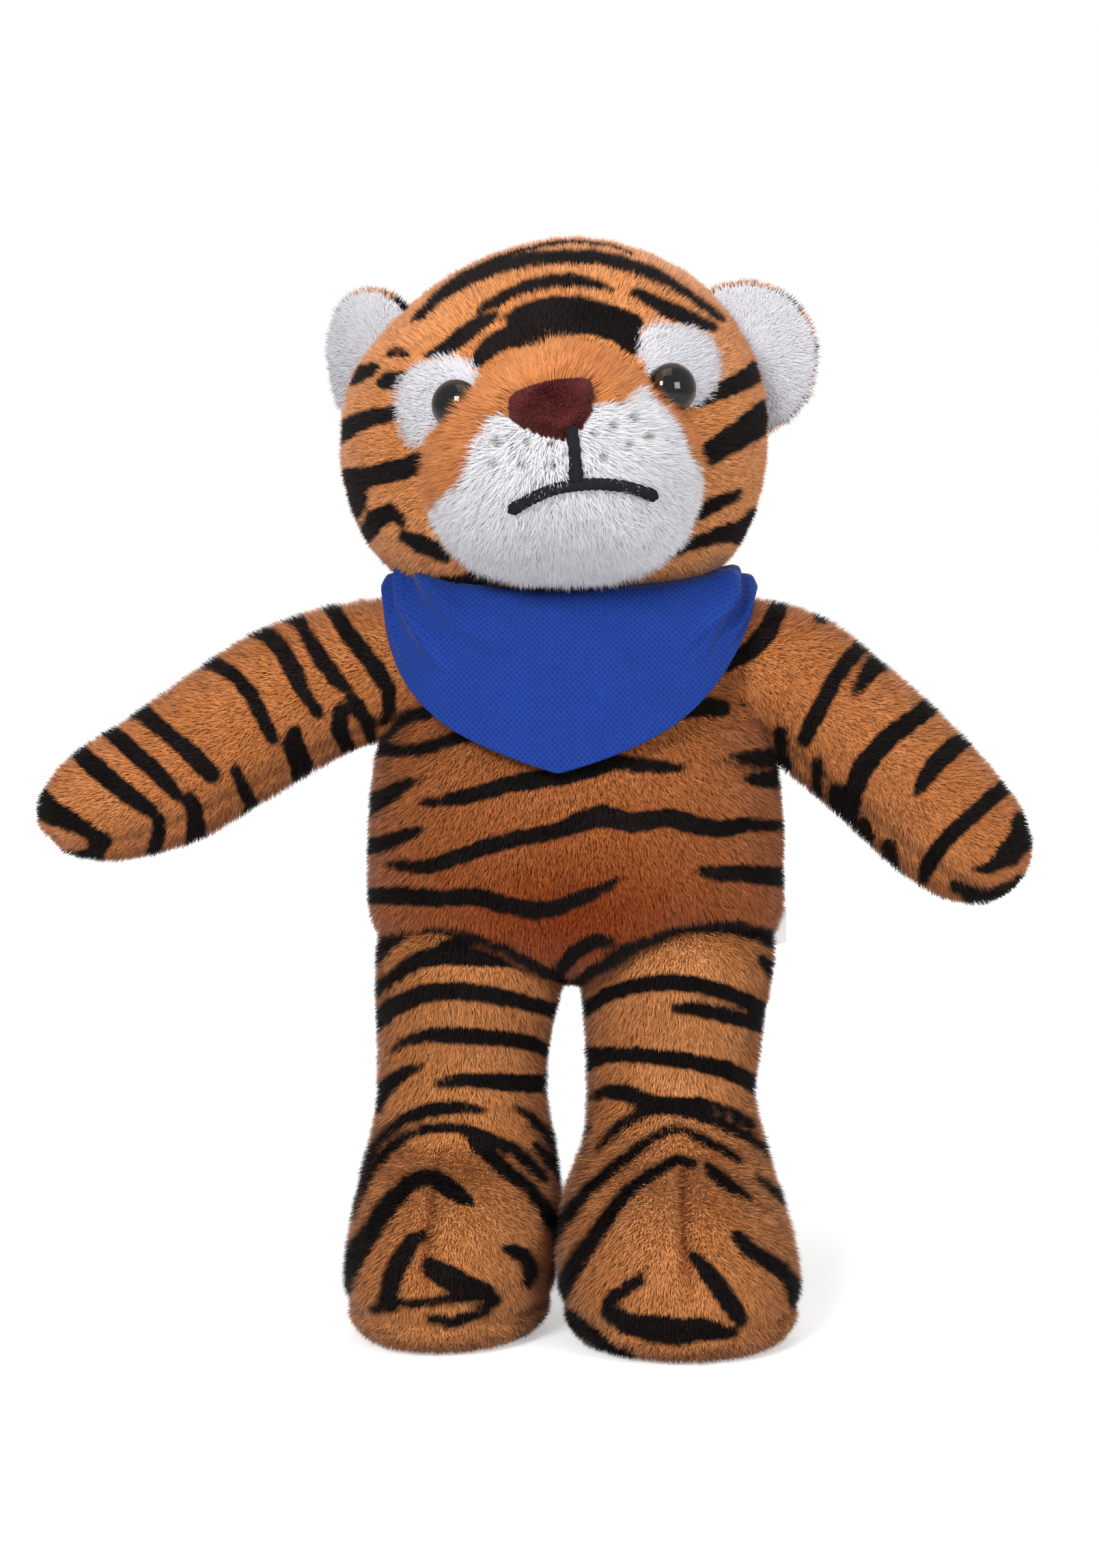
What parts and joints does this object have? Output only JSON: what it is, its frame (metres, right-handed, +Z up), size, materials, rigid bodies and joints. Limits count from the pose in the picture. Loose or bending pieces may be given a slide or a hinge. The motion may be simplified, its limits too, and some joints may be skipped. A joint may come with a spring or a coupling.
{
  "type": "plush tiger",
  "caption": "Standing stuffed tiger with striped plush, white muzzle, glossy eyes and a blue knitted neckerchief; head, ears, arms, legs and tail move.",
  "frame": {"origin": "middle of the footprint, on the floor", "axes": "+Z up, the face towards -Y, the tiger's own left towards +X"},
  "size_m": [0.2298, 0.1233, 0.2516],
  "materials": {
    "gold_plush": "short plush pile, golden orange with printed black stripes",
    "orange_plush": "longer orange pile",
    "white_plush": "white plush pile",
    "fibre": "loose white filling",
    "pellets": "small round pellets",
    "blue_knit": "royal blue fine knit",
    "nose_flock": "dark brown flock",
    "black_thread": "matt thread",
    "eye_plastic": "polished brown with a black pupil",
    "washer_plastic": "moulded",
    "white_tape": "woven tape, blank"
  },
  "bodies": {
    "torso": {"torso_front_panel": "gold_plush", "torso_stuffing": "fibre", "torso_back_left_panel": "gold_plush", "torso_back_right_panel": "gold_plush", "scarf": "blue_knit", "scarf_knot": "blue_knit", "care_label": "white_tape"},
    "neck": {"neck_stuffing": "fibre"},
    "head": {"head_gusset_panel": "gold_plush", "head_left_panel": "gold_plush", "head_right_panel": "gold_plush", "head_stuffing": "fibre", "muzzle_bridge_panel": "orange_plush", "muzzle_white_panel": "white_plush", "muzzle_stuffing": "fibre", "nose": "nose_flock", "mouth_bow": "black_thread", "mouth_upright": "black_thread", "eye_patch_left": "white_plush", "eye_left": "eye_plastic", "eye_washer_left": "washer_plastic", "eye_patch_right": "white_plush", "eye_right": "eye_plastic", "eye_washer_right": "washer_plastic"},
    "ear_left": {"ear_left_front": "white_plush", "ear_left_back": "gold_plush"},
    "ear_right": {"ear_right_front": "white_plush", "ear_right_back": "gold_plush"},
    "arm_left": {"arm_left_upper_panel": "gold_plush", "arm_left_under_panel": "gold_plush", "arm_left_stuffing": "fibre"},
    "arm_right": {"arm_right_upper_panel": "gold_plush", "arm_right_under_panel": "gold_plush", "arm_right_stuffing": "fibre"},
    "leg_left": {"leg_left_outer_panel": "gold_plush", "leg_left_inner_panel": "gold_plush", "foot_left_sole": "gold_plush", "leg_left_stuffing": "fibre", "foot_left_pellets": "pellets"},
    "leg_right": {"leg_right_outer_panel": "gold_plush", "leg_right_inner_panel": "gold_plush", "foot_right_sole": "gold_plush", "leg_right_stuffing": "fibre", "foot_right_pellets": "pellets"},
    "tail": {"tail_cover": "gold_plush", "tail_stuffing": "fibre"}
  },
  "joints": [
    {"name": "neck_turn", "type": "hinge", "parent": "torso", "child": "neck", "pos_m": [0.00707, 0.00545, 0.168], "axis": [0, 0, 1], "range_deg": [-28, 28]},
    {"name": "head_nod", "type": "hinge", "parent": "neck", "child": "head", "pos_m": [0.00707, 0.00545, 0.183], "axis": [-1, 0, 0], "range_deg": [-5, 12]},
    {"name": "ear_left_fold", "type": "hinge", "parent": "head", "child": "ear_left", "pos_m": [0.05083, 0.01045, 0.22322], "axis": [0.3746, 0, 0.9272], "range_deg": [-10, 15], "stiffness_Nm_per_rad": 0.002},
    {"name": "ear_right_fold", "type": "hinge", "parent": "head", "child": "ear_right", "pos_m": [-0.04034, 0.01045, 0.22236], "axis": [0.1736, 0, -0.9848], "range_deg": [-10, 15], "stiffness_Nm_per_rad": 0.002},
    {"name": "arm_left_raise", "type": "hinge", "parent": "torso", "child": "arm_left", "pos_m": [0.04707, 0.00545, 0.154], "axis": [0, -1, 0], "range_deg": [-6, 24]},
    {"name": "arm_right_raise", "type": "hinge", "parent": "torso", "child": "arm_right", "pos_m": [-0.02893, 0.00545, 0.154], "axis": [0, 1, 0], "range_deg": [-10, 18]},
    {"name": "leg_left_swing", "type": "hinge", "parent": "torso", "child": "leg_left", "pos_m": [0.03157, 0.00545, 0.088], "axis": [-1, 0, 0], "range_deg": [-10, 18]},
    {"name": "leg_right_swing", "type": "hinge", "parent": "torso", "child": "leg_right", "pos_m": [-0.01742, 0.00545, 0.088], "axis": [-1, 0, 0], "range_deg": [-10, 18]},
    {"name": "tail_swing", "type": "hinge", "parent": "torso", "child": "tail", "pos_m": [0.00911, 0.04233, 0.10596], "axis": [0, 1, 0], "range_deg": [-4, 12], "stiffness_Nm_per_rad": 0.01}
  ]
}
